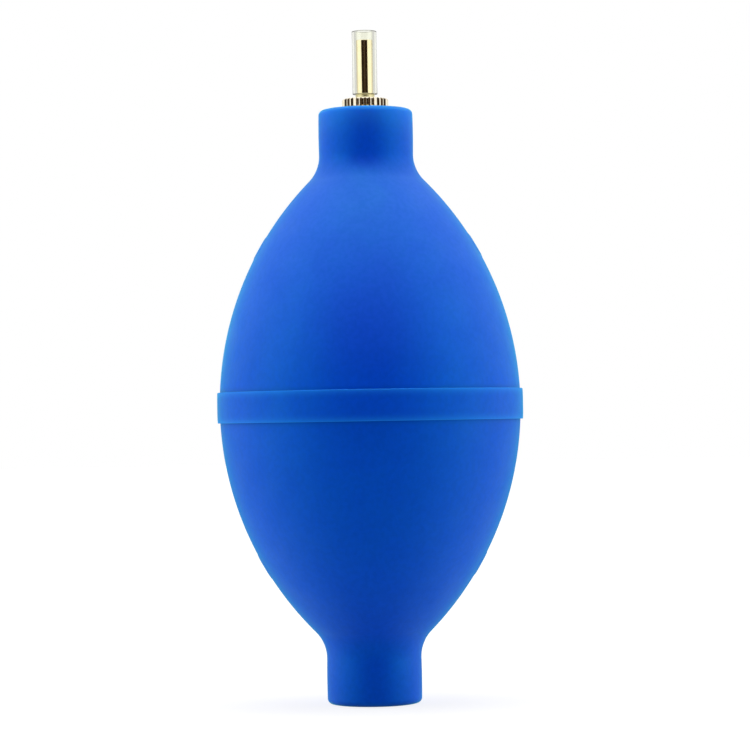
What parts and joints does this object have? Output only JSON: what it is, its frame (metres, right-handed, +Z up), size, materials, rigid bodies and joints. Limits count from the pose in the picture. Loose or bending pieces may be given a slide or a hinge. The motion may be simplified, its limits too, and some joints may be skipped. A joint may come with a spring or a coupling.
{
  "type": "dust blower bulb",
  "caption": "Hand-squeezed rubber blower bulb with a belted seam, a ball inlet valve in its lower neck and a screw-in knurled brass nozzle under a clear tip sleeve.",
  "frame": {"origin": "centre of the lower neck's end face, on the surface that the bulb stands on", "axes": "+Z up along the bulb's axis to the nozzle, -Y the front wall that is squeezed, +X to the right seen from the front"},
  "size_m": [0.06, 0.06, 0.1319],
  "materials": {
    "blue_rubber": "matte moulded silicone rubber, deep blue",
    "black_rubber": "matte black nitrile rubber",
    "gilt_brass": "polished pale gold plating",
    "turned_brass": "bright turned brass",
    "clear_sleeve": "clear flexible tubing, slightly milky",
    "steel": "stainless steel, bright",
    "filter_felt": "off-white felt"
  },
  "bodies": {
    "bulb": {"upper_bulb_shell": "blue_rubber", "lower_bulb_shell": "blue_rubber", "belt_band": "blue_rubber", "neck_bush": "turned_brass", "valve_body": "turned_brass", "inlet_cap": "steel", "filter_disc": "filter_felt", "seat_ring": "black_rubber", "valve_spring": "steel", "spring_retainer": "steel"},
    "front_wall": {"front_squeeze_wall": "blue_rubber"},
    "back_wall": {"back_squeeze_wall": "blue_rubber"},
    "seal": {"oring_seal": "black_rubber"},
    "nozzle": {"knurled_collar": "gilt_brass", "nozzle_tube": "gilt_brass", "tube_ferrule": "turned_brass"},
    "sleeve": {"tip_sleeve": "clear_sleeve"},
    "ball": {"valve_ball": "steel"}
  },
  "joints": [
    {"name": "squeeze_front", "type": "slide", "parent": "bulb", "child": "front_wall", "axis": [0, 1, 0], "range_m": [0, 0.012], "stiffness_N_per_m": 400},
    {"name": "squeeze_back", "type": "slide", "parent": "bulb", "child": "back_wall", "axis": [0, -1, 0], "range_m": [0, 0.012], "stiffness_N_per_m": 400},
    {"name": "nozzle_lift", "type": "slide", "parent": "bulb", "child": "seal", "axis": [0, 0, 1], "range_m": [0, 0.00675]},
    {"name": "nozzle_spin", "type": "hinge", "parent": "seal", "child": "nozzle", "pos_m": [0, 0, 0.1175], "axis": [0, 0, 1], "range_deg": [0, 3240.2]},
    {"name": "sleeve_pull", "type": "slide", "parent": "nozzle", "child": "sleeve", "axis": [0, 0, 1], "range_m": [0, 0.014]},
    {"name": "ball_lift", "type": "slide", "parent": "bulb", "child": "ball", "axis": [0, 0, 1], "range_m": [0, 0.0012], "stiffness_N_per_m": 5, "springref_m": -0.002, "deforming": ["valve_spring"]}
  ],
  "couplings": [
    {"joint": "squeeze_back", "follows": "squeeze_front", "ratio": 1},
    {"joint": "nozzle_spin", "follows": "nozzle_lift", "rad_per_m": 8377.6}
  ]
}
